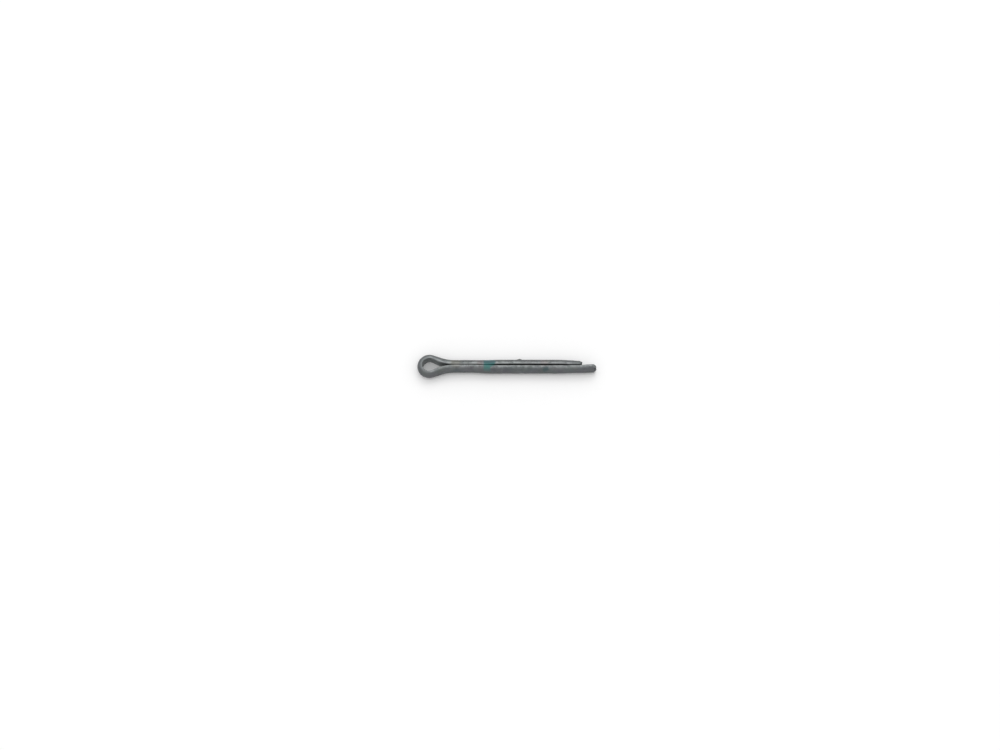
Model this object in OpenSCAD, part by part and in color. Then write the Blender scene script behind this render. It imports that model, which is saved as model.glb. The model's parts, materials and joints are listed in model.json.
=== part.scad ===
// Split cotter pin, folded from one length of half-round wire.
//
// The pin lies flat. X runs along the shank from the eye to the ends, Y is the way the
// legs part and Z is up. The origin is on the shank's axis at the neck, where the bend
// of the eye ends and the two legs run straight together. The short leg is on +Y.

/* [Wire] */
// Diameter of the round that the two legs make together
shank_d = 2.8; // [2.3:0.05:3.6]
// Radius on the two long edges of the half-round wire
edge_r = 0.25; // [0.1:0.01:0.35]
// Thickness of the wire where it is drawn round the eye
eye_wall = 1.2; // [0.9:0.05:1.4]

/* [Eye] */
// Width across the eye
eye_w = 5.4; // [4.6:0.1:8]
// Slope of the eye's flanks to the shank's axis
flank_angle = 19; // [14:0.5:24]
// Radius of the bend from a flank into its leg
neck_r = 10.5; // [4:0.5:12]

/* [Legs] */
// Length of the short leg, from the neck to its end
short_leg = 28.6; // [16:0.1:60]
// Reach of the long leg past the short one
overhang = 3.1; // [1:0.1:8]
// Length below the neck where the legs lie together
grip = 3.5; // [2:0.1:8]
// Air between the legs where they lie together
slit = 0.04; // [0.02:0.01:0.08]
// Length over which the legs swing apart, or back together
swing = 4.4; // [2.4:0.1:6]
// Slope at which they swing
swing_angle = 2.9; // [2:0.1:6]
// Length of the short leg past its swing back
short_end = 1.4; // [1.2:0.1:4]

/* [Nipped ends] */
// Length of the bevel round each leg's end
bevel = 0.45; // [0.2:0.05:0.75]
// How far the bevel comes in from the outline of the wire
bevel_in = 0.28; // [0.1:0.02:0.4]
// Height of the ridge across each end's face, where the cutter's jaws met
ridge = 0.15; // [0.05:0.01:0.25]

/* [Hidden] */
$fn = 96;

// Radius of the wire's round back, and its full depth
wire_r = shank_d / 2;
// Radius of the path that the round back's own centre takes round the eye
path_r = eye_w / 2 - wire_r;
// Length of each straight flank of the eye
flank = (path_r * cos(flank_angle) - slit / 2 - neck_r * (1 - cos(flank_angle)))
    / sin(flank_angle);
// Distance from the neck back to the centre of the eye's bend
eye_x = (neck_r + path_r) * sin(flank_angle) + flank * cos(flank_angle);
// Radius of the bends of a swing, and how far it takes the leg sideways
swing_r = swing / (2 * sin(swing_angle));
bow = swing * tan(swing_angle / 2);
// Length of straight wire that each nipped end is cut from
nip = 1.5 * bevel;
// Each slanted flank laps what it joins, and is a hair thinner
lap = 0.05;
hair = 0.012;
// Positions are given in whole steps of this and a small rest, to keep more digits
step = 0.001;
// How far the rounds of the edges stand proud, so that they cross what they meet
proud = 0.001;
// How far the shapes that trim the wire reach past it
past = 1;

// Moves to a place in the plane, in whole steps and then the rest.
module place(x, y) {
    steps = [round(x / step) * step, round(y / step) * step, 0];
    translate(steps)
        translate([x, y, 0] - steps)
            children();
}

// Section of the wire: a round back, cut by a flat and rounded along both edges. The
// flat lies on the Y axis and the crown is at x = depth. A skin draws it all in.
module half_round(depth, skin = 0) {
    back = depth - wire_r;
    edge_y = sqrt(pow(wire_r - edge_r, 2) - pow(edge_r - back, 2));
    slope = (edge_r - back) / edge_y;
    far = wire_r + past;
    intersection() {
        translate([back, 0])
            circle(wire_r - skin);
        translate([skin, -far])
            square([far, 2 * far]);
        union() {
            polygon([
                [-past, -edge_y],
                [edge_r, -edge_y],
                [edge_r + slope * past, -edge_y - past],
                [far, -edge_y - past],
                [far, edge_y + past],
                [edge_r + slope * past, edge_y + past],
                [edge_r, edge_y],
                [-past, edge_y]
            ]);
            for (side = [-1, 1])
                translate([edge_r, side * edge_y])
                    circle(edge_r + proud - skin);
        }
    }
}

// Straight wire along +X, with its flat at y = 0 and its crown towards +Y.
module bar(length, depth = wire_r, skin = 0) {
    rotate([90, 0, 90])
        linear_extrude(length)
            half_round(depth, skin);
}

// Bent wire round a centre, from a given angle over the given sweep, anticlockwise.
// Its flat is at the given radius, and its crown is outside that, or inside it where
// the wire bends back.
module bend(centre, radius, start, sweep, depth = wire_r, back = false) {
    place(centre[0], centre[1])
        rotate_extrude(angle = sweep, start = start)
            place(radius, 0)
                mirror([back ? 1 : 0, 0])
                    half_round(depth);
}

// Wire that swings out sideways, and wire that swings back in.
module swing_out() {
    bend([0, swing_r], swing_r, -90, swing_angle, back = true);
    bend([swing, bow - swing_r], swing_r, 90, swing_angle);
}

module swing_in() {
    place(swing, 0)
        mirror([1, 0])
            swing_out();
}

// End of a leg, nipped off at x = nip, with a bevel all round and an upright ridge
// down the middle of its face.
module nipped_end() {
    taper = bevel_in / bevel;
    face = nip - ridge;
    end_r = wire_r - bevel_in;
    far = wire_r + past;
    slope = ridge / (wire_r / 2 - bevel_in);
    intersection() {
        bar(nip);
        rotate([0, 90, 0])
            cylinder(h = nip, r1 = end_r + face * taper, r2 = end_r - ridge * taper);
        translate([0, 0, -far])
            linear_extrude(2 * far)
                polygon([
                    [-past, bevel_in - (face + past) * taper],
                    [face, bevel_in],
                    [nip, wire_r / 2],
                    [nip - (far - wire_r / 2) * slope, far],
                    [-past, far]
                ]);
    }
}

// Half of the eye on +Y: the bend at the neck, and the flank, which fills out from
// the eye's wall to the wire's full depth.
module eye_side() {
    bend([0, slit / 2 + neck_r], neck_r, -90 - flank_angle, flank_angle, back = true);
    place(-neck_r * sin(flank_angle), slit / 2 + neck_r * (1 - cos(flank_angle)))
        rotate([0, 0, -flank_angle])
            hull() {
                translate([-flank - lap, wire_r - eye_wall, 0])
                    bar(lap, eye_wall, hair, $fn = 48);
                bar(lap, skin = hair, $fn = 48);
            }
}

// Leg on +Y, which lies along the other one, stands off it and comes back to it. Its
// last stretch, past the swing back in, has the given length.
module leg(last) {
    apart = grip + swing;
    together = short_leg - short_end;
    place(0, slit / 2)
        bar(grip);
    place(grip, slit / 2)
        swing_out();
    place(apart, slit / 2 + bow)
        bar(together - swing - apart);
    place(together - swing, slit / 2)
        swing_in();
    place(together, slit / 2)
        bar(last - nip);
    place(together + last - nip, slit / 2)
        nipped_end();
}

module cotter_pin() {
    color([0.46, 0.47, 0.47]) {
        bend([-eye_x, 0], eye_w / 2 - eye_wall, 90 - flank_angle, 180 + 2 * flank_angle,
            eye_wall);
        for (side = [0, 1])
            mirror([0, side, 0]) {
                eye_side();
                leg(short_end + side * overhang);
            }
    }
}

cotter_pin();
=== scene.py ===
"""A split cotter pin of dull zinc-plated steel, lying on a pale table.

One length of half-round wire is drawn straight, thinned where the eye will be and nipped
at both ends. Then it is folded round into the eye, so that its two legs lie flat to flat.
"""

import json
import math
import random

import bmesh
import bpy
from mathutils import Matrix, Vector


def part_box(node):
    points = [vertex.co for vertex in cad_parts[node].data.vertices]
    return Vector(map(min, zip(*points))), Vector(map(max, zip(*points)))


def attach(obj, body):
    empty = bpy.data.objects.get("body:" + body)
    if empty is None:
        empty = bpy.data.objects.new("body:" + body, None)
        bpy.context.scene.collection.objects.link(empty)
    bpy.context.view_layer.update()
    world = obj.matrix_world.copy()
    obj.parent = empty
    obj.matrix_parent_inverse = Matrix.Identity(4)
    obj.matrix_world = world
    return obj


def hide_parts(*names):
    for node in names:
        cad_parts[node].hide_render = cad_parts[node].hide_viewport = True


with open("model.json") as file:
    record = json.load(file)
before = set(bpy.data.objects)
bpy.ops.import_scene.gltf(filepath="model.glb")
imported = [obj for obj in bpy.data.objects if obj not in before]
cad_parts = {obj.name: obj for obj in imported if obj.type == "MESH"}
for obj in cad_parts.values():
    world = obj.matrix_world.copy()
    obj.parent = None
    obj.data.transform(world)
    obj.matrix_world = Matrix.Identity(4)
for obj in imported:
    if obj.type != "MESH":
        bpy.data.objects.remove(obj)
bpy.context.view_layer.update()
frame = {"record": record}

MM = 0.001
# Points closer than SAME are in one place, and a cut goes through a point closer than SNAP
SAME = 1e-6
SNAP = 1e-8

# The whole pin's box, and the places and sizes of its mounts
LOW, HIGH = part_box("cotter_pin")
MOUNTS = {mount["name"]: mount for mount in frame["record"]["mounts"]}

# The wire: a half round with two rounded edges, and the slit between its two legs
WIRE_R = MOUNTS["shank"]["dims"]["r_mm"] * MM
EDGE_R = 0.25 * MM
SLIT = 0.04 * MM

# The eye, its two flanks and the bends that take them into the legs
EYE_OUTER_R = HIGH.y
EYE_INNER_R = MOUNTS["eye"]["dims"]["r_mm"] * MM
EYE_WALL = EYE_OUTER_R - EYE_INNER_R
PATH_R = EYE_OUTER_R - WIRE_R
FLANK_ANGLE = math.radians(19)
NECK_R = 10.5 * MM
FLANK = (
    PATH_R * math.cos(FLANK_ANGLE) - SLIT / 2 - NECK_R * (1 - math.cos(FLANK_ANGLE))
) / math.sin(FLANK_ANGLE)

# The legs, which swing apart past the grip and swing back near the short one's end
SHORT_LEG = 28.6 * MM
LONG_LEG = HIGH.x
GRIP = MOUNTS["shank"]["dims"]["length_mm"] * MM
SHORT_END = 1.4 * MM
SWING = 4.4 * MM
SWING_ANGLE = math.radians(2.9)
SWING_R = SWING / (2 * math.sin(SWING_ANGLE))

# The nipped ends: a bevel all round, and a low ridge where the two jaws met
BEVEL = 0.45 * MM
BEVEL_IN = 0.28 * MM
RIDGE = 0.15 * MM

# How finely the section is drawn: the sides of the round that it is cut from, the cuts
# that round each of its edges, and those that divide its flat
ROUND_SIDES = 120
EDGE_CUTS = 6
FLAT_CUTS = 17

# How far apart the rings round the wire are on each part, and the length of the last part
# at each end
LEG_RINGS, NECK_RINGS, FLANK_RINGS, EYE_RINGS, END_RINGS = (
    spacing * MM for spacing in (0.2, 0.16, 0.12, 0.05, 0.05)
)
END = 0.6 * MM

# The steps of the bends, and the angle past which two faces meet in a crease
BEND_STEP = math.radians(1.5)
CREASE = math.radians(32)


# ---------------------------------------------------------------- modelling


def edit(obj):
    """Opens the mesh for editing, with nothing selected."""
    bpy.ops.object.select_all(action="DESELECT")
    bpy.context.view_layer.objects.active = obj
    obj.select_set(True)
    bpy.ops.object.mode_set(mode="EDIT")
    bpy.ops.mesh.select_all(action="DESELECT")


def done():
    """Closes the mesh after editing."""
    bpy.ops.object.mode_set(mode="OBJECT")


def pick(obj, wanted, kind="VERT"):
    """Selects only the vertices, edges or faces that wanted() says yes to."""
    bpy.ops.mesh.select_mode(type=kind)
    bpy.ops.mesh.select_all(action="DESELECT")
    mesh = bmesh.from_edit_mesh(obj.data)
    for part in {"VERT": mesh.verts, "EDGE": mesh.edges, "FACE": mesh.faces}[kind]:
        if wanted(part):
            part.select = True
    mesh.select_flush_mode()
    bmesh.update_edit_mesh(obj.data)


def apply_modifier(obj, name, kind, **settings):
    """Gives the piece a modifier with its settings, and makes its result the mesh."""
    modifier = obj.modifiers.new(name, kind)
    for setting, value in settings.items():
        setattr(modifier, setting, value)
    bpy.ops.object.select_all(action="DESELECT")
    bpy.context.view_layer.objects.active = obj
    obj.select_set(True)
    bpy.ops.object.modifier_apply(modifier=name)


def wire_section():
    """The half-round section, cut from a full round, with its two edges filed round."""
    bpy.ops.object.select_all(action="DESELECT")
    bpy.ops.mesh.primitive_circle_add(
        vertices=ROUND_SIDES,
        radius=WIRE_R,
        fill_type="NGON",
        rotation=(math.pi / 2, 0, math.pi / 2),
    )
    wire = bpy.context.object
    wire.name = wire.data.name = "folded_wire"
    bpy.ops.object.transform_apply()
    edit(wire)

    def cut(place, outwards):
        """Cuts off all that is outwards of a plane."""
        bpy.ops.mesh.select_all(action="SELECT")
        bpy.ops.mesh.bisect(
            plane_co=place, plane_no=outwards, clear_outer=True, threshold=SNAP
        )

    cut((0, 0, 0), (0, -1, 0))
    # Each edge is rounded from where it leaves the round back to where it joins the flat
    edge_z = math.sqrt((WIRE_R - EDGE_R) ** 2 - EDGE_R**2)
    first = math.atan2(edge_z, EDGE_R)
    for side in (-1, 1):
        for n in range(EDGE_CUTS):
            turn = first + (math.pi - first) * (n + 0.5) / EDGE_CUTS
            outwards = Vector((0, math.cos(turn), side * math.sin(turn)))
            cut(Vector((0, EDGE_R, side * edge_z)) + outwards * EDGE_R, outwards)

    pick(wire, lambda edge: edge.calc_length() > WIRE_R, "EDGE")
    bpy.ops.mesh.subdivide(number_cuts=FLAT_CUTS)
    return wire


def draw_wire(wire, stretches):
    """Draws the section out along X, stretch by stretch, and rings each at a spacing."""
    bpy.ops.mesh.select_mode(type="FACE")
    bpy.ops.mesh.select_all(action="SELECT")
    drawn = []
    start = 0
    for length, spacing in stretches:
        bpy.ops.mesh.extrude_region_move(TRANSFORM_OT_translate={"value": (length, 0, 0)})
        drawn.append((start, length, round(length / spacing)))
        start += length
    for start, length, spaces in drawn:
        middle = start + length / 2
        pick(
            wire,
            lambda edge: abs(edge.verts[0].co.x - edge.verts[1].co.x) > length / 2
            and abs(edge.verts[0].co.x + edge.verts[1].co.x - 2 * middle) < SAME,
            "EDGE",
        )
        bpy.ops.mesh.subdivide(number_cuts=spaces - 1)
    bpy.ops.mesh.select_all(action="SELECT")
    bpy.ops.mesh.normals_make_consistent(inside=False)


def thin_the_eye(wire, start, end):
    """Presses the flat of the wire in where the eye will be, tapering over the flanks."""
    pick(wire, lambda vert: start - SAME < vert.co.x < end + SAME)
    bpy.ops.transform.resize(
        value=(1, EYE_WALL / WIRE_R, 1),
        center_override=(start, WIRE_R, 0),
        use_proportional_edit=True,
        proportional_edit_falloff="SMOOTH",
        proportional_size=FLANK,
    )


def nip(wire, end, outwards):
    """Nips one end: a bevel all round, and a ridge down the middle of its face."""
    middle = WIRE_R / 2
    # Where the face is cut into a grid for the ridge, as shares of the wire's radius
    shares_across = (0.3, 0.5, 0.7)
    shares_up = (-0.75, -0.6, -0.45, -0.3, -0.15, 0, 0.15, 0.3, 0.45, 0.6, 0.75)

    def at_end(vert):
        """Whether a point is on the end's face."""
        return abs(vert.co.x - end) < SAME

    for across in shares_across:
        pick(wire, lambda face: all(at_end(vert) for vert in face.verts), "FACE")
        bpy.ops.mesh.bisect(
            plane_co=(end, WIRE_R * across, 0), plane_no=(0, 1, 0), threshold=SNAP
        )
    for up in shares_up:
        pick(wire, lambda face: all(at_end(vert) for vert in face.verts), "FACE")
        bpy.ops.mesh.bisect(
            plane_co=(end, 0, WIRE_R * up), plane_no=(0, 0, 1), threshold=SNAP
        )
    pick(wire, at_end)
    bpy.ops.transform.resize(
        value=(1, 1 - 2 * BEVEL_IN / WIRE_R, 1 - BEVEL_IN / WIRE_R),
        center_override=(end, middle, 0),
        use_proportional_edit=True,
        proportional_edit_falloff="LINEAR",
        proportional_size=BEVEL,
    )
    pick(wire, lambda vert: at_end(vert) and abs(vert.co.y - middle) < SAME)
    bpy.ops.transform.translate(
        value=(outwards * RIDGE, 0, 0),
        use_proportional_edit=True,
        proportional_edit_falloff="LINEAR",
        proportional_size=middle - BEVEL_IN,
    )


def fold_path():
    """The line that the middle of the wire's round back follows, end to end."""
    points = [Vector((LONG_LEG - RIDGE, -SLIT / 2))]
    heading = math.pi

    def straight(length):
        """Goes straight on."""
        points.append(points[-1] + length * Vector((math.cos(heading), math.sin(heading))))

    def bend(radius, turn):
        """Bends to the left by an angle, or to the right where it is negative."""
        nonlocal heading
        side = math.copysign(1, turn)
        centre = points[-1] + side * radius * Vector((-math.sin(heading), math.cos(heading)))
        steps = max(4, math.ceil(abs(turn) / BEND_STEP))
        for n in range(1, steps + 1):
            on = heading + turn * n / steps
            points.append(centre - side * radius * Vector((-math.sin(on), math.cos(on))))
        heading += turn

    def swing_out_and_back(sideways, first, middle, last):
        """Follows a leg: straight, swung aside, straight again, swung back and straight."""
        straight(first)
        for turn in (sideways, -sideways):
            bend(SWING_R, turn)
        straight(middle)
        for turn in (-sideways, sideways):
            bend(SWING_R, turn)
        straight(last)

    together = SHORT_LEG - SHORT_END
    apart = together - 2 * SWING - GRIP
    swing_out_and_back(SWING_ANGLE, LONG_LEG - RIDGE - together, apart, GRIP)
    bend(NECK_R, FLANK_ANGLE)
    straight(FLANK)
    bend(PATH_R, -math.pi - 2 * FLANK_ANGLE)
    straight(FLANK)
    bend(NECK_R, FLANK_ANGLE)
    swing_out_and_back(SWING_ANGLE, GRIP, apart, SHORT_END - RIDGE)
    return points


def fold(wire):
    """Folds the straight wire along its path."""
    points = fold_path()
    curve = bpy.data.curves.new("fold_path", "CURVE")
    curve.dimensions = "2D"
    spline = curve.splines.new("POLY")
    spline.points.add(len(points) - 1)
    for point, place in zip(spline.points, points):
        point.co = (place.x, place.y, 0, 1)
    path = bpy.data.objects.new("fold_path", curve)
    bpy.context.scene.collection.objects.link(path)
    apply_modifier(wire, "fold", "CURVE", object=path, deform_axis="POS_X")
    bpy.data.objects.remove(path)


def press(wire, place, depth, reach):
    """Presses the surface in near a place, as a knock does, or raises it if depth < 0."""
    mesh = bmesh.from_edit_mesh(wire.data)
    nearest = min(mesh.verts, key=lambda vert: (vert.co - place).length_squared)
    inwards = -nearest.normal
    index = nearest.index
    pick(wire, lambda vert: vert.index == index)
    bpy.ops.transform.translate(
        value=inwards * depth,
        use_proportional_edit=True,
        use_proportional_connected=True,
        proportional_edit_falloff="SMOOTH",
        proportional_size=reach,
    )


def push_aside(wire, wanted, push, reach):
    """Moves part of the folded wire over, and what joins it less and less."""
    pick(wire, wanted)
    bpy.ops.transform.translate(
        value=push,
        use_proportional_edit=True,
        use_proportional_connected=True,
        proportional_edit_falloff="SMOOTH",
        proportional_size=reach,
    )


# ------------------------------------------------------------- the folded wire

# Lengths along the wire. A leg's two swings, of two bends each, make it a hair longer than
# it reaches
neck = NECK_R * FLANK_ANGLE
eye = PATH_R * (math.pi + 2 * FLANK_ANGLE)
swung = 2 * 2 * SWING_R * SWING_ANGLE - 2 * SWING
long_part = LONG_LEG - RIDGE + swung
short_part = SHORT_LEG - RIDGE + swung
stretches = [
    (END, END_RINGS),
    *[((long_part - END) / 2, LEG_RINGS)] * 2,
    (neck, NECK_RINGS),
    (FLANK, FLANK_RINGS),
    (eye, EYE_RINGS),
    (FLANK, FLANK_RINGS),
    (neck, NECK_RINGS),
    *[((short_part - END) / 2, LEG_RINGS)] * 2,
    (END, END_RINGS),
]
wire_length = sum(length for length, _ in stretches)
eye_start = long_part + neck + FLANK

wire = wire_section()
draw_wire(wire, stretches)
done()

# Where each point lay on the straight wire, for the patterns that follow the wire
lay = wire.data.attributes.new("lay", "FLOAT_VECTOR", "POINT")
for point, vert in zip(lay.data, wire.data.vertices):
    point.vector = vert.co

edit(wire)
thin_the_eye(wire, eye_start, eye_start + eye)
nip(wire, 0, -1)
nip(wire, wire_length, 1)
done()
fold(wire)

# Where a knock can land: on the round back. The places are sorted, to 0.001 mm, so that
# every run knocks it alike
back_from = 0.4 * MM
round_backs = sorted(
    (
        vert.co.copy()
        for vert, point in zip(wire.data.vertices, wire.data.attributes["lay"].data)
        if point.vector.y > back_from
    ),
    key=lambda place: tuple(round(c / MM, 3) for c in place),
)

# The marks of folding and handling. First the legs' inner edges, which wander: where from
# and to along X, how far to +Y, and over how far that fades, all in mm. They are squeezed
# together just past the grip, and spread near the short leg's end
edit(wire)
SHORT, LONG = 1, -1
edge_band = 0.3 * MM
for leg, start, stop, push, reach in (
    (SHORT, 1.5, 5.0, 0.03, 1.5),
    (LONG, 6.4, 7.1, 0.08, 2.2),
    (SHORT, 6.4, 7.1, -0.08, 2.2),
    (LONG, 9.5, 17.0, 0.055, 3.0),
    (SHORT, 9.5, 17.0, 0.025, 3.0),
    (LONG, 20.0, 24.0, 0.03, 1.4),
    (LONG, 25.0, 28.6, -0.035, 1.4),
    (SHORT, 25.0, 28.6, 0.035, 1.4),
):
    push_aside(
        wire,
        lambda vert: start * MM < vert.co.x < stop * MM
        and 0 < leg * vert.co.y < edge_band
        and vert.co.z > edge_band,
        (0, push * MM, 0),
        reach * MM,
    )

# The eye and the grip are a touch to one side, and the short leg is bowed out
eye_aside, bowed_out = 0.1 * MM, 0.04 * MM
push_aside(wire, lambda vert: vert.co.x < GRIP, (0, eye_aside, 0), SWING)
push_aside(
    wire,
    lambda vert: 10.0 * MM < vert.co.x < 24.0 * MM and vert.co.y > 0,
    (0, bowed_out, 0),
    2 * MM,
)

# The short leg's back is flattened at its end, and the long leg's end is bent over,
# squashed wider and left with a burr
flattened, bent, squashed, burr = (size * MM for size in (0.12, 0.1, 0.06, 0.12))
push_aside(
    wire,
    lambda vert: vert.co.x > SHORT_LEG - 0.9 * MM and vert.co.y > 1.25 * MM,
    (0, -flattened, 0),
    1.6 * MM,
)
push_aside(wire, lambda vert: vert.co.x > LONG_LEG - 1.0 * MM, (0, bent, 0), 3 * MM)
push_aside(
    wire,
    lambda vert: vert.co.x > LONG_LEG - 1.7 * MM and vert.co.y > -0.4 * MM,
    (0, squashed, 0),
    1.5 * MM,
)
press(wire, Vector((LONG_LEG, -0.65 * MM, -0.2 * MM)), -burr, 0.45 * MM)

# A lump of plating and two nicks on the short leg's back: place, depth and reach in mm
for place, depth, reach in (
    ((14.45, 1.45, 0.5), -0.2, 0.75),
    ((4.9, 1.45, 0.5), 0.12, 0.35),
    ((5.6, 1.45, 0.45), 0.1, 0.3),
):
    press(wire, Vector(place) * MM, depth * MM, reach * MM)

# Small knocks all over, from the other pins in the bag
knocks = random.Random(7)
knock_count = 26
for _ in range(knock_count):
    depth, reach = knocks.uniform(0.01, 0.035), knocks.uniform(0.3, 0.8)
    press(wire, knocks.choice(round_backs), depth * MM, reach * MM)
done()
bpy.ops.object.shade_smooth_by_angle(angle=CREASE)

# ------------------------------------------------------------------ materials

# The patches of a noise texture are about this over its scale across. Patterns are in mm, so
# a scale is this over the patches' real size
PATCH = 0.7

# The dab of marking paint, in mm: its left and right edges on the short leg, how far the
# right one leans back for each mm down the long leg, its place when it has gone furthest,
# and the lowest that the paint reaches
PAINT_LEFT = 6.5
PAINT_RIGHT = 9.15
PAINT_LEAN = 1.8
PAINT_RIGHT_LEAST = 8.05
PAINT_LOWEST = 0.6


def linear(hex_colour):
    """A colour written as sRGB hex, as the linear colour that the shader takes."""
    channels = [int(hex_colour[n : n + 2], 16) / 255 for n in (1, 3, 5)]
    return [
        c / 12.92 if c <= 0.04045 else ((c + 0.055) / 1.055) ** 2.4 for c in channels
    ] + [1]


def node(tree, kind, inputs=None, **settings):
    """Adds a node with its settings, and sets its inputs or links other nodes to them."""
    added = tree.nodes.new(kind)
    for setting, value in settings.items():
        setattr(added, setting, value)
    for socket, value in (inputs or {}).items():
        if isinstance(value, bpy.types.Node):
            value = next(output for output in value.outputs if output.enabled)
        if isinstance(value, bpy.types.NodeSocket):
            tree.links.new(value, added.inputs[socket])
        else:
            added.inputs[socket].default_value = value
    return added


def material(name):
    """A new material with an empty node tree, and that tree."""
    made = bpy.data.materials.new(name)
    made.use_nodes = True
    made.node_tree.nodes.clear()
    return made, made.node_tree


def plating(tree, on_wire, drawn):
    """Clouds of lighter and darker plating, with a faint film, drawing lines and scuffs.
    Gives their colour, how light the clouds are, and the small patches in them."""
    # Broad clouds of about 2.2 mm, and patches of about 0.6 mm
    broad = node(
        tree,
        "ShaderNodeTexNoise",
        {"Vector": on_wire, "Scale": PATCH / 2.2, "Detail": 3, "Roughness": 0.6, "Distortion": 0.6},
    )
    patches = node(
        tree,
        "ShaderNodeTexNoise",
        {"Vector": on_wire, "W": 3, "Scale": PATCH / 0.6, "Detail": 4, "Roughness": 0.6},
        noise_dimensions="4D",
    )
    clouds = node(tree, "ShaderNodeMix", {"Factor": 0.55, "A": broad, "B": patches})
    light = node(tree, "ShaderNodeMapRange", {"Value": clouds, "From Min": 0.36, "From Max": 0.64})
    colour = node(
        tree,
        "ShaderNodeMix",
        {"Factor": light, "A": linear("#5a5d60"), "B": linear("#6e7171")},
        data_type="RGBA",
    )

    # The thin chromate film on the zinc, in clouds of 2 mm: it turns the grey faintly
    # green or pink
    film = node(
        tree,
        "ShaderNodeTexNoise",
        {"Vector": on_wire, "W": 8, "Scale": PATCH / 2.0, "Detail": 3, "Distortion": 0.8},
        noise_dimensions="4D",
    )
    colour = node(
        tree,
        "ShaderNodeMix",
        {"Factor": 0.13, "A": colour, "B": film.outputs["Color"]},
        data_type="RGBA",
        blend_type="OVERLAY",
    )

    # Drawing lines: they darken the grey in thin streaks along the wire
    streaks = node(
        tree,
        "ShaderNodeMapRange",
        {"Value": drawn, "From Min": 0.35, "From Max": 0.7, "To Max": 0.45},
    )
    colour = node(
        tree,
        "ShaderNodeMix",
        {"Factor": streaks, "A": colour, "B": linear("#444949")},
        data_type="RGBA",
    )

    # Scuffs from the other pins in the bag: thin, bright and a few tenths of a mm long
    slanted = node(
        tree,
        "ShaderNodeMapping",
        {"Vector": on_wire, "Rotation": (0.5, 0, 0.6), "Scale": (0.25, 3.2, 0.8)},
    )
    scuffs = node(tree, "ShaderNodeTexNoise", {"Vector": slanted, "Scale": PATCH / 0.16})
    scuffed = node(
        tree,
        "ShaderNodeMapRange",
        {"Value": scuffs, "From Min": 0.68, "From Max": 0.76, "To Max": 0.5},
    )
    colour = node(
        tree,
        "ShaderNodeMix",
        {"Factor": scuffed, "A": colour, "B": linear("#9a9e9e")},
        data_type="RGBA",
    )
    return colour, light, patches


def marking_paint(tree, in_place, ragged, patches):
    """How much paint there is: a dab across both legs, solid on the short one, that
    narrows and thins out down the side of the long one, with ragged, worn edges."""
    at = node(tree, "ShaderNodeSeparateXYZ", {0: in_place}).outputs
    from_left = node(tree, "ShaderNodeMath", {0: at["X"], 1: PAINT_LEFT}, operation="SUBTRACT")
    down = node(tree, "ShaderNodeMath", {0: at["Y"], 1: 0.0}, operation="MINIMUM")
    right = node(
        tree,
        "ShaderNodeMath",
        {0: down, 1: PAINT_LEAN, 2: PAINT_RIGHT},
        operation="MULTIPLY_ADD",
    )
    right = node(tree, "ShaderNodeMath", {0: right, 1: PAINT_RIGHT_LEAST}, operation="MAXIMUM")
    from_right = node(tree, "ShaderNodeMath", {0: right, 1: at["X"]}, operation="SUBTRACT")
    from_side = node(tree, "ShaderNodeMath", {0: from_left, 1: from_right}, operation="MINIMUM")
    from_below = node(
        tree, "ShaderNodeMath", {0: at["Z"], 1: PAINT_LOWEST}, operation="SUBTRACT"
    )
    inside = node(tree, "ShaderNodeMath", {0: from_side, 1: from_below}, operation="MINIMUM")
    inside = node(tree, "ShaderNodeMath", {0: inside, 1: ragged}, operation="ADD")
    dab = node(
        tree,
        "ShaderNodeMapRange",
        {"Value": inside, "From Min": -0.12, "From Max": 0.14},
        interpolation_type="SMOOTHSTEP",
    )
    whole = node(
        tree,
        "ShaderNodeMapRange",
        {"Value": patches, "From Min": 0.32, "From Max": 0.5, "To Min": 0.5, "To Max": 0.95},
    )
    dab = node(tree, "ShaderNodeMath", {0: dab, 1: whole}, operation="MULTIPLY")
    thinner = node(
        tree,
        "ShaderNodeMapRange",
        {"Value": down, "From Min": -1.35, "From Max": -0.6, "To Min": 0.25},
    )
    return node(tree, "ShaderNodeMath", {0: dab, 1: thinner}, operation="MULTIPLY")


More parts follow.
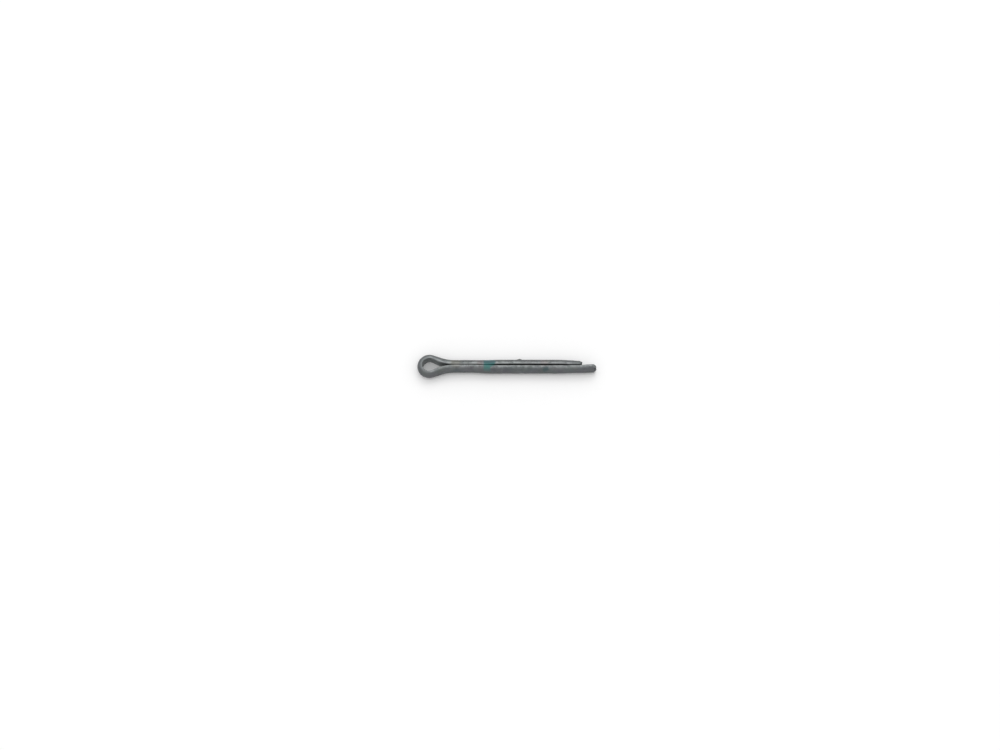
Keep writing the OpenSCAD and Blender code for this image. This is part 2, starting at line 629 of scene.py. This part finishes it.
def dull_zinc_plate():
    """Zinc plating on drawn steel wire: grey and dull, a little blue, cloudy, with faint
    lines along the wire where it was drawn, edges rubbed brighter and painted as a
    highlight, flats painted lighter as painted light, nipped ends painted darker as
    painted shade with a painted highlight on their crest, and a worn dab of teal marking
    paint. Its patterns follow the wire as it lay straight, and the paint and stains its
    place now, both in mm."""
    zinc, tree = material("dull_zinc_plated_drawn_steel")
    lay = node(tree, "ShaderNodeAttribute", attribute_name="lay").outputs["Vector"]
    on_wire = node(tree, "ShaderNodeMapping", {"Vector": lay, "Scale": [1 / MM] * 3})
    place = node(tree, "ShaderNodeTexCoord").outputs["Object"]
    in_place = node(tree, "ShaderNodeMapping", {"Vector": place, "Scale": [1 / MM] * 3})

    # Drawing lines: about 0.02 mm apart on real wire, drawn here at 0.07 mm to show
    lengthwise = node(tree, "ShaderNodeMapping", {"Vector": on_wire, "Scale": (0.05, 1, 1)})
    drawn = node(
        tree, "ShaderNodeTexNoise", {"Vector": lengthwise, "Scale": PATCH / 0.07, "Detail": 3}
    )
    colour, light, patches = plating(tree, on_wire, drawn)

    # The flat that the rolls left, painted a little lighter than the round back: painted light for
    # the light scattered into the slit and the eye
    along, from_flat, _ = node(tree, "ShaderNodeSeparateXYZ", {0: on_wire}).outputs
    flat = node(
        tree,
        "ShaderNodeMapRange",
        {"Value": from_flat, "From Min": 0.3, "From Max": 0.05, "To Max": 0.6},
    )
    colour = node(
        tree,
        "ShaderNodeMix",
        {"Factor": flat, "A": colour, "B": linear("#939797")},
        data_type="RGBA",
    )

    # The two long edges, rubbed brighter in patches, and all round the eye: partly wear, partly a
    # painted highlight along the edges
    across = node(tree, "ShaderNodeVectorMath", {0: on_wire}, operation="ABSOLUTE")
    across = node(
        tree, "ShaderNodeVectorMath", {0: across, 1: (0, 1, 1)}, operation="MULTIPLY"
    )
    edge_place = (0, 0.2, 1.3)
    from_edge = node(
        tree, "ShaderNodeVectorMath", {0: across, 1: edge_place}, operation="DISTANCE"
    )
    edge = node(
        tree,
        "ShaderNodeMapRange",
        {"Value": from_edge, "From Min": 0.8, "From Max": 0.1},
        interpolation_type="SMOOTHSTEP",
    )
    bare_and_highlight_patches = node(
        tree,
        "ShaderNodeMapRange",
        {"Value": patches, "From Min": 0.4, "From Max": 0.6, "To Min": 0.08, "To Max": 0.75},
    )
    at_x, at_y, _ = node(tree, "ShaderNodeSeparateXYZ", {0: in_place}).outputs
    eye_handled_and_highlit = node(
        tree,
        "ShaderNodeMapRange",
        {"Value": at_x, "From Min": 0.0, "From Max": -3.0, "To Max": 0.35},
    )
    bare_and_highlight_patches = node(tree, "ShaderNodeMath", {0: bare_and_highlight_patches, 1: eye_handled_and_highlit}, operation="MAXIMUM")
    rubbed_and_highlit = node(tree, "ShaderNodeMath", {0: edge, 1: bare_and_highlight_patches}, operation="MULTIPLY")
    colour = node(
        tree,
        "ShaderNodeMix",
        {"Factor": rubbed_and_highlit, "A": colour, "B": linear("#959999")},
        data_type="RGBA",
    )

    # The nipped ends: painted shade, in streaks along the way the jaws slid, and a painted
    #     highlight on the crest where they met
    to_go = node(
        tree, "ShaderNodeMath", {0: wire_length / MM, 1: along}, operation="SUBTRACT"
    )
    from_end = node(tree, "ShaderNodeMath", {0: along, 1: to_go}, operation="MINIMUM")
    nipped = node(
        tree,
        "ShaderNodeMapRange",
        {"Value": from_end, "From Min": 0.5, "From Max": 0.3},
    )
    slid = node(tree, "ShaderNodeMapping", {"Vector": on_wire, "Scale": (1, 0.08, 1)})
    jaw_lines = node(
        tree, "ShaderNodeTexNoise", {"Vector": slid, "Scale": PATCH / 0.09, "Detail": 3}
    )
    painted_end_shade = node(
        tree,
        "ShaderNodeMapRange",
        {"Value": jaw_lines, "From Min": 0.35, "From Max": 0.65, "To Min": 0.1, "To Max": 0.75},
    )
    painted_end_shade = node(tree, "ShaderNodeMath", {0: painted_end_shade, 1: nipped}, operation="MULTIPLY")
    colour = node(
        tree,
        "ShaderNodeMix",
        {"Factor": painted_end_shade, "A": colour, "B": linear("#3a3e3e")},
        data_type="RGBA",
    )
    # Painted highlight: the crest of each nipped end is painted lighter
    half_way = WIRE_R / MM / 2
    from_crest = node(tree, "ShaderNodeMath", {0: from_flat, 1: half_way}, operation="SUBTRACT")
    from_crest = node(tree, "ShaderNodeMath", {0: from_crest}, operation="ABSOLUTE")
    painted_crest_highlight = node(
        tree,
        "ShaderNodeMapRange",
        {"Value": from_crest, "From Min": 0.16, "From Max": 0.02},
        interpolation_type="SMOOTHSTEP",
    )
    painted_crest_highlight = node(tree, "ShaderNodeMath", {0: painted_crest_highlight, 1: nipped}, operation="MULTIPLY")
    painted_crest_highlight = node(tree, "ShaderNodeMath", {0: painted_crest_highlight, 1: jaw_lines}, operation="MULTIPLY")
    colour = node(
        tree,
        "ShaderNodeMix",
        {"Factor": painted_crest_highlight, "A": colour, "B": linear("#9a9e9e")},
        data_type="RGBA",
    )

    # Spots with ragged edges, their places and reach in mm: a smear of the paint, old oil at
    #     the neck, first rust in two places, grime by the short leg's end, and two spots of rubbed
    #     plating painted bright, which are also painted highlights
    edges = node(
        tree,
        "ShaderNodeTexNoise",
        {"Vector": in_place, "Scale": PATCH / 0.4, "Detail": 4, "Roughness": 0.65},
    )
    ragged = node(tree, "ShaderNodeMath", {0: edges, 1: 0.9, 2: -0.45}, operation="MULTIPLY_ADD")
    for centre, reach, strength, spot_colour in (
        ((20.3, -1.0, 1.0), 1.1, 0.45, "#27494c"),
        ((0.2, 0.6, 1.3), 1.8, 0.35, "#7a7465"),
        ((20.0, 0.4, 1.3), 1.3, 0.3, "#80706e"),
        ((5.6, 0.4, 1.3), 0.9, 0.3, "#80706e"),
        ((27.3, 0.7, 1.2), 1.7, 0.6, "#5c605f"),
        # The last two: rubbed plating, painted lighter as painted highlights
        ((9.4, 0.4, 1.3), 0.6, 0.4, "#aeb2b2"),
        ((-1.3, 0.6, 1.3), 0.8, 0.3, "#a2a6a6"),
    ):
        away = node(tree, "ShaderNodeVectorMath", {0: in_place, 1: centre}, operation="DISTANCE")
        away = node(tree, "ShaderNodeMath", {0: away, 1: ragged}, operation="ADD")
        spotted = node(
            tree,
            "ShaderNodeMapRange",
            {"Value": away, "From Min": reach, "From Max": reach * 0.3, "To Max": strength},
            interpolation_type="SMOOTHSTEP",
        )
        colour = node(
            tree,
            "ShaderNodeMix",
            {"Factor": spotted, "A": colour, "B": linear(spot_colour)},
            data_type="RGBA",
        )

    # The paint: a little greener on the long leg, painted lighter on the flats as painted light,
    # and not metallic
    paint = marking_paint(tree, in_place, ragged, patches)
    on_long_leg = node(
        tree,
        "ShaderNodeMapRange",
        {"Value": at_y, "From Min": 0.3, "From Max": -0.2},
    )
    paint_colour = node(
        tree,
        "ShaderNodeMix",
        {"Factor": on_long_leg, "A": linear("#28565a"), "B": linear("#2a6763")},
        data_type="RGBA",
    )
    # Painted light: the paint is painted lighter where it lies on the flats
    paint_colour = node(
        tree,
        "ShaderNodeMix",
        {"Factor": flat, "A": paint_colour, "B": linear("#2f8380")},
        data_type="RGBA",
    )
    colour = node(
        tree,
        "ShaderNodeMix",
        {"Factor": paint, "A": colour, "B": paint_colour},
        data_type="RGBA",
    )
    metallic = node(tree, "ShaderNodeMath", {0: paint, 1: -0.9, 2: 1.0}, operation="MULTIPLY_ADD")

    # Dull all over, a little smoother where the clouds are dark and on the rubbed edges that carry
    # the painted highlight, and
    #     rougher on the nipped ends that carry the painted shade
    rough = node(tree, "ShaderNodeMath", {0: light, 1: 0.1, 2: 0.42}, operation="MULTIPLY_ADD")
    rough = node(tree, "ShaderNodeMath", {0: rubbed_and_highlit, 1: -0.1, 2: rough}, operation="MULTIPLY_ADD")
    rough = node(tree, "ShaderNodeMath", {0: painted_end_shade, 1: 0.2, 2: rough}, operation="MULTIPLY_ADD")

    # Relief: drawing lines, the plating's fine grain of about 0.1 mm, small pits of about
    # 0.25 mm, and the paint's edge
    relief_depth = 0.025 * MM
    grain = node(
        tree,
        "ShaderNodeTexNoise",
        {"Vector": on_wire, "Scale": PATCH / 0.1, "Detail": 4, "Roughness": 0.7},
    )
    pitted = node(
        tree,
        "ShaderNodeTexNoise",
        {"Vector": on_wire, "W": 5, "Scale": PATCH / 0.25},
        noise_dimensions="4D",
    )
    pits = node(
        tree,
        "ShaderNodeMapRange",
        {"Value": pitted, "From Min": 0.3, "From Max": 0.22, "To Max": -1.0},
    )
    relief = node(tree, "ShaderNodeMix", {"Factor": 0.5, "A": drawn, "B": grain})
    relief = node(tree, "ShaderNodeMix", {"Factor": nipped, "A": relief, "B": jaw_lines})
    relief = node(tree, "ShaderNodeMath", {0: relief, 1: pits}, operation="ADD")
    relief = node(tree, "ShaderNodeMath", {0: paint, 1: 0.5, 2: relief}, operation="MULTIPLY_ADD")
    bump = node(
        tree, "ShaderNodeBump", {"Height": relief, "Distance": relief_depth, "Strength": 1.0}
    )
    shader = node(
        tree,
        "ShaderNodeBsdfPrincipled",
        {"Base Color": colour, "Metallic": metallic, "Roughness": rough, "Normal": bump},
    )
    node(tree, "ShaderNodeOutputMaterial", {"Surface": shader})
    return zinc


wire.data.materials.append(dull_zinc_plate())
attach(wire, "root")
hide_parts("cotter_pin")

# ---------------------------------------------------------- table, light, camera

TABLE_SIDE = 0.6
# The room's light on the pin and the table. With the two lamps, it shows a colour about as
# it is written. To the eye, the room is plain white
ROOM_LIGHT = 0.887

# The camera looks down steeply across the long leg, from about 260 mm away
CAMERA_AIM = Vector((10.155, -1.988, 0)) * MM
CAMERA_AZIMUTH, CAMERA_ELEVATION = math.radians(-0.054), math.radians(68)
CAMERA_DISTANCE = 261.77 * MM
CAMERA_LENS = 42.12
CAMERA_SENSOR = 36
CAMERA_NEAREST, CAMERA_FURTHEST = 0.01, 10


def seen_directly(tree):
    """1 for what the eye sees, straight or in a reflection or through glass, else 0."""
    ray = node(tree, "ShaderNodeLightPath").outputs
    seen = ray["Is Camera Ray"]
    for also in ("Is Glossy Ray", "Is Transmission Ray"):
        seen = node(tree, "ShaderNodeMath", {0: seen, 1: ray[also]}, operation="MAXIMUM")
    return seen


def matt_white_board():
    """A board painted matt white, so that it shows hardly any gloss."""
    board, tree = material("matt_white_painted_board")
    shader = node(
        tree,
        "ShaderNodeBsdfPrincipled",
        {"Base Color": linear("#fafafa"), "Roughness": 0.9, "Specular IOR Level": 0.1},
    )
    node(tree, "ShaderNodeOutputMaterial", {"Surface": shader})
    return board


bpy.ops.object.select_all(action="DESELECT")
bpy.ops.mesh.primitive_plane_add(size=TABLE_SIDE, location=(0, 0, LOW.z))
table = bpy.context.object
table.name = "table_top"
table.data.materials.append(matt_white_board())

world = bpy.data.worlds.new("soft_white_room")
bpy.context.scene.world = world
world.use_nodes = True
world.node_tree.nodes.clear()
seen = seen_directly(world.node_tree)
strength = node(
    world.node_tree,
    "ShaderNodeMapRange",
    {"Value": seen, "To Min": ROOM_LIGHT, "To Max": 1.0},
)
background = node(
    world.node_tree, "ShaderNodeBackground", {"Color": (1, 1, 1, 1), "Strength": strength}
)
node(world.node_tree, "ShaderNodeOutputWorld", {"Surface": background})


def soft_lamp(name, place, aim, size, watts):
    """A round lamp of a given width, turned towards what it lights."""
    lamp = bpy.data.lights.new(name, "AREA")
    lamp.shape = "DISK"
    lamp.size = size
    lamp.energy = watts
    lit = bpy.data.objects.new(name, lamp)
    bpy.context.scene.collection.objects.link(lit)
    lit.location = place
    lit.rotation_euler = (Vector(aim) - Vector(place)).to_track_quat("-Z", "Y").to_euler()


middle = Vector(((LOW.x + HIGH.x) / 2, 0, 0))
soft_lamp("lamp_above", (0.0, -0.1, 2.0), middle, size=0.62, watts=3.4)
soft_lamp("lamp_behind", (0.25, 1.25, 1.56), middle, size=1.2, watts=5.5)

camera_data = bpy.data.cameras.new("camera")
camera_data.sensor_width = CAMERA_SENSOR
camera_data.lens = CAMERA_LENS
camera_data.clip_start = CAMERA_NEAREST
camera_data.clip_end = CAMERA_FURTHEST
camera = bpy.data.objects.new("camera", camera_data)
bpy.context.scene.collection.objects.link(camera)
bpy.context.scene.camera = camera
back = Vector(
    (
        math.sin(CAMERA_AZIMUTH) * math.cos(CAMERA_ELEVATION),
        -math.cos(CAMERA_AZIMUTH) * math.cos(CAMERA_ELEVATION),
        math.sin(CAMERA_ELEVATION),
    )
)
camera.location = CAMERA_AIM + back * CAMERA_DISTANCE
camera.rotation_euler = (-back).to_track_quat("-Z", "Y").to_euler()

bpy.context.scene.view_settings.view_transform = "Standard"
